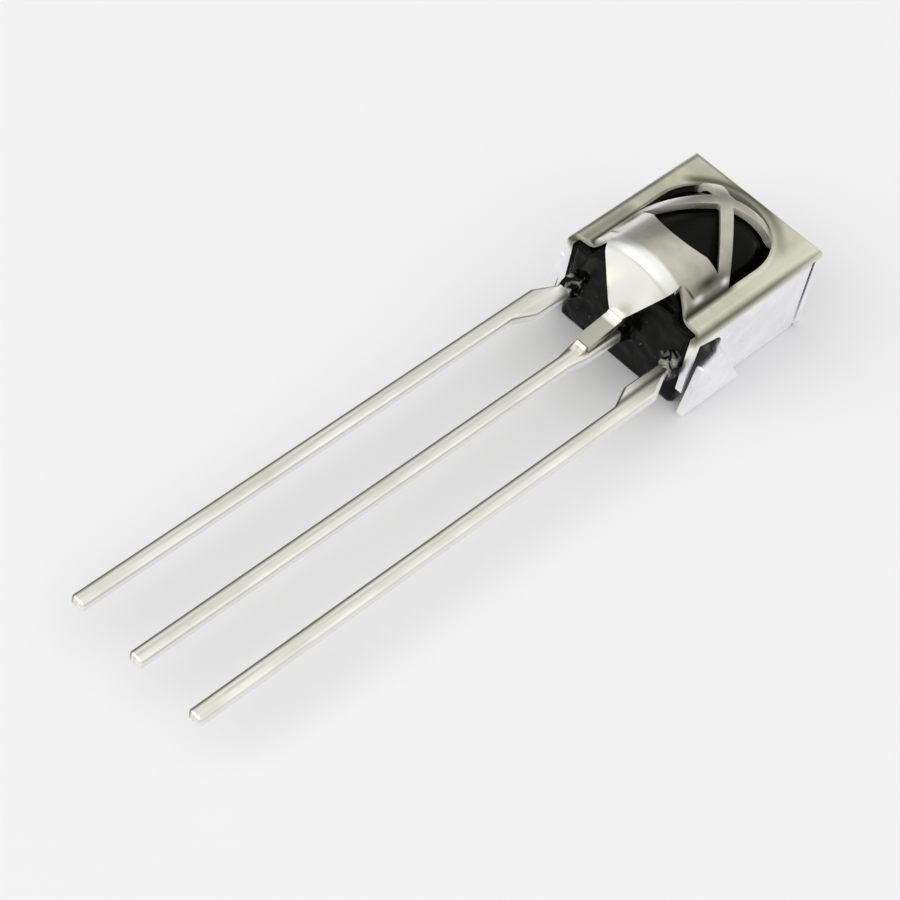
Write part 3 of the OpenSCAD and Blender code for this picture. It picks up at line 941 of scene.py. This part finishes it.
@dataclass
class LeadFrame:
    """The three stamped leads."""

    edge_mm: float = 0.12
    edge_deg: float = 40.0
    edge_segments: int = 5
    finish: TinnedLead = field(default_factory=TinnedLead)

    def build(self) -> list[bpy.types.Object]:
        """Builds the leads with their stamped edges rolled over and returns them."""
        material = self.finish.make()
        pieces = []
        for lead in Lead:
            piece = to_object(f"{lead.value}_strip", copy_of(lead.value))
            bevelled(piece, self.edge_mm, self.edge_deg, self.edge_segments)
            pieces.append(claim(piece, material, lead.value))
        return pieces


@dataclass
class ResinBody:
    """The cast resin body with its lens, its collars and its lumpy lead side.

    The plugs fill the tunnels that the leads run in, so that the skin closes round them.
    """

    cell_mm: float = 0.06
    passes: int = 5
    lead_side_mm: float = -3.095
    collar_mm: float = 0.6
    plug_back_mm: float = 0.05
    plug_depth_mm: float = 1.6
    root_mm: Pair = (1.915, 2.415)
    pad_half_mm: float = 0.4
    lead_z_mm: Pair = (1.44, 1.84)
    lump_mm: float = 0.06
    lump_size_mm: float = 0.85
    lump_start_mm: float = 0.25
    lump_growth_mm: float = 0.2
    lump_half_mm: float = 2.5
    lump_floor_mm: float = 0.15
    fine_height: float = 0.3
    fine_size: float = 0.4
    fine_shift: Triple = (7.0, 3.0, 1.0)
    finish: CastEpoxy = field(default_factory=CastEpoxy)

    def build(self) -> list[bpy.types.Object]:
        """Builds the casting and returns it."""
        shape = copy_of("epoxy_body")
        front = self.lead_side_mm - self.collar_mm + self.plug_back_mm
        back = self.lead_side_mm + self.plug_depth_mm
        low, high = self.lead_z_mm
        left = (-self.root_mm[1], -self.root_mm[0])
        for near, far in (self.root_mm, left, (-self.pad_half_mm, self.pad_half_mm)):
            add_block(shape, (near, front, low), (far, back, high))
        piece = poured(to_object("resin_casting", shape), self.cell_mm, self.passes)
        self.lump(piece.data)
        return [claim(piece, self.finish.make(), "epoxy_body")]

    def lump(self, mesh: bpy.types.Mesh) -> None:
        """Raises the low lumps that the poured side keeps round the leads.

        Args:
            mesh: The casting's mesh.
        """
        start = self.lead_side_mm + self.lump_start_mm
        fine_mm = self.lump_size_mm * self.fine_size
        for vertex in mesh.vertices:
            place = vertex.co / MM
            growth = max(0.0, min(1.0, (start - place.y) / self.lump_growth_mm))
            beside = abs(place.x) > self.lump_half_mm or place.z < self.lump_floor_mm
            if growth <= 0.0 or beside:
                continue
            slow = noise.noise(place / self.lump_size_mm)
            fine = noise.noise(place / fine_mm + Vector(self.fine_shift))
            height = slow + self.fine_height * fine
            vertex.co += vertex.normal * height * self.lump_mm * growth * MM
        mesh.update()


@dataclass
class TabJoint:
    """The solder that joins the shield's foot to the middle lead."""

    cell_mm: float = 0.015
    passes: int = 24

    def build(self) -> list[bpy.types.Object]:
        """Builds the bead and returns it."""
        piece = poured(to_object("solder_bead", copy_of("tab_solder")), self.cell_mm, self.passes)
        return [claim(piece, SOLDER.make(), "tab_solder")]


@dataclass
class SealedParts:
    """The chips, their adhesive and the bond wires, cast into the body."""

    finishes: dict[str, PlainFinish] = field(
        default_factory=lambda: {
            "photodiode_die": SILICON,
            "receiver_ic_die": SILICON,
            "diode_adhesive": ADHESIVE,
            "ic_adhesive": ADHESIVE,
            "wire_out": GOLD,
            "wire_vcc": GOLD,
            "wire_gnd": GOLD,
            "wire_diode_signal": GOLD,
            "wire_diode_bias": GOLD,
        }
    )

    def build(self) -> list[bpy.types.Object]:
        """Gives each sealed CAD node its material and returns the nodes."""
        made = {finish.name: finish.make() for finish in (SILICON, ADHESIVE, GOLD)}
        for node, finish in self.finishes.items():
            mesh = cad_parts[node].data
            mesh.materials.clear()
            mesh.materials.append(made[finish.name])
        return [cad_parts[node] for node in self.finishes]


@dataclass(frozen=True)
class Lamp:
    """One square lamp that faces the object."""

    name: str
    place_m: Triple
    side_m: float
    watts: float
    aim_m: Triple = (0.0, -0.008, 0.002)

    def hang(self) -> None:
        """Hangs the lamp."""
        data = bpy.data.lights.new(self.name, "AREA")
        data.size = self.side_m
        data.energy = self.watts
        lamp = bpy.data.objects.new(self.name, data)
        lamp.location = self.place_m
        aim = Vector(self.aim_m) - lamp.location
        lamp.rotation_euler = aim.to_track_quat("-Z", "Y").to_euler()
        bpy.context.scene.collection.objects.link(lamp)


@dataclass
class Studio:
    """The floor, the lamps, the sky and the camera.

    The sky is bright overhead and dim towards the horizon, with a black flag
    low at the back left; the camera itself sees it white.
    """

    floor_side_m: float = 0.24
    floor_gap_mm: float = 0.02
    floor_colour: str = "#f3f3f4"
    floor_roughness: float = 0.9
    floor_in_metal: float = 0.6
    sky: tuple[Pair, ...] = ((0.0, 0.5), (0.3, 0.78), (0.6, 1.0), (1.0, 1.0))
    flag_way: Triple = (-0.8, 0.6, 0.12)
    flag_edge: Pair = (0.6, 0.97)
    flag_level: float = 0.3
    key: Lamp = Lamp("key_softbox", (-0.105, -0.245, 0.2), 0.24, 0.2)
    spark: Lamp = Lamp("spark_lamp", (-0.13, -0.17, 0.18), 0.02, 0.006)
    camera_mm: Triple = (32.227, -56.668, 69.269)
    azimuth_deg: float = 35.16
    elevation_deg: float = 50.56
    roll_deg: float = 12.91
    lens_mm: float = 114.107
    sensor_mm: float = 36.0
    clip_start_m: float = 0.001

    def build(self) -> list[bpy.types.Object]:
        """Builds everything round the object and returns the floor."""
        floor = self.floor()
        self.world()
        self.key.hang()
        self.spark.hang()
        self.camera()
        return [floor]

    def floor(self) -> bpy.types.Object:
        """Lays the pale floor under the object and returns it."""
        shape = bmesh.new()
        bmesh.ops.create_grid(shape, x_segments=1, y_segments=1, size=self.floor_side_m / 2)
        piece = to_object("studio_floor", shape)
        piece.location.z = -self.floor_gap_mm * MM
        material = bpy.data.materials.new("matt_paper")
        material.use_nodes = True
        tree = material.node_tree
        shader = tree.nodes["Principled BSDF"]
        shader.inputs["Base Color"].default_value = srgb(self.floor_colour)
        shader.inputs["Roughness"].default_value = self.floor_roughness
        mirrored = add_node(tree, "ShaderNodeLightPath").outputs["Is Glossy Ray"]
        share = {"operation": "MULTIPLY", 1: self.floor_in_metal}
        lift = add_node(tree, "ShaderNodeMath", share, {0: mirrored}).outputs["Value"]
        white = add_node(tree, "ShaderNodeEmission").outputs["Emission"]
        links = {0: lift, 1: shader.outputs["BSDF"], 2: white}
        both = add_node(tree, "ShaderNodeMixShader", links=links).outputs["Shader"]
        tree.links.new(both, tree.nodes["Material Output"].inputs["Surface"])
        piece.data.materials.append(material)
        return piece

    def world(self) -> None:
        """Makes the sky."""
        world = bpy.data.worlds.new("studio_sky")
        bpy.context.scene.world = world
        world.use_nodes = True
        tree = world.node_tree
        way = add_node(tree, "ShaderNodeTexCoord").outputs["Generated"]
        height = add_node(tree, "ShaderNodeSeparateXYZ", links={0: way}).outputs["Z"]
        ramp = add_node(tree, "ShaderNodeValToRGB", links={"Fac": height})
        ramp.color_ramp.interpolation = "EASE"
        elements = ramp.color_ramp.elements
        elements[0].position, elements[0].color = self.sky[0][0], grey(self.sky[0][1])
        elements[1].position, elements[1].color = self.sky[-1][0], grey(self.sky[-1][1])
        for position, level in self.sky[1:-1]:
            elements.new(position).color = grey(level)
        flagged = self.flagged(tree, way, ramp.outputs["Color"])
        in_view = add_node(tree, "ShaderNodeLightPath").outputs["Is Camera Ray"]
        white = {"data_type": "RGBA", 7: grey(1.0)}
        seen = add_node(tree, "ShaderNodeMix", white, {0: in_view, 6: flagged}).outputs[2]
        tree.links.new(seen, tree.nodes["Background"].inputs["Color"])

    def flagged(self, tree: Tree, way: Socket, light: Socket) -> Socket:
        """Dims the sky behind the black flag.

        Args:
            tree: The world's node tree.
            way: The direction's socket.
            light: The sky's colour socket.

        Returns:
            The dimmed colour's socket.
        """
        aim = {"operation": "DOT_PRODUCT", 1: tuple(Vector(self.flag_way).normalized())}
        facing = add_node(tree, "ShaderNodeVectorMath", aim, {0: way}).outputs["Value"]
        shade = Rise("facing", *self.flag_edge).add(tree, {"facing": facing})
        dim = {"data_type": "RGBA", 7: grey(self.flag_level)}
        return add_node(tree, "ShaderNodeMix", dim, {0: shade, 6: light}).outputs[2]

    def camera(self) -> None:
        """Places the camera, level with its direction and then rolled."""
        azimuth, elevation = math.radians(self.azimuth_deg), math.radians(self.elevation_deg)
        back = Vector(
            (
                math.sin(azimuth) * math.cos(elevation),
                -math.cos(azimuth) * math.cos(elevation),
                math.sin(elevation),
            )
        )
        right = Vector((0, 0, 1)).cross(back).normalized()
        up = back.cross(right)
        roll = math.radians(self.roll_deg)
        rolled_right = right * math.cos(roll) + up * math.sin(roll)
        rolled_up = up * math.cos(roll) - right * math.sin(roll)
        turn = Matrix((rolled_right, rolled_up, back)).transposed().to_4x4()
        data = bpy.data.cameras.new("studio_camera")
        data.lens = self.lens_mm
        data.sensor_width = self.sensor_mm
        data.clip_start = self.clip_start_m
        camera = bpy.data.objects.new("studio_camera", data)
        camera.matrix_world = Matrix.Translation(Vector(self.camera_mm) * MM) @ turn
        bpy.context.scene.collection.objects.link(camera)
        bpy.context.scene.camera = camera
        bpy.context.scene.view_settings.view_transform = "Standard"


def main() -> None:
    """Builds the studio and then the object's pieces in order, and reports each piece."""
    for part in (Studio(), Shield(), ResinBody(), LeadFrame(), TabJoint(), SealedParts()):
        for piece in part.build():
            material = piece.data.materials[0].name
            LOG.info("%s: %s, %d faces", piece.name, material, len(piece.data.polygons))


if __name__ == "__main__":
    main()
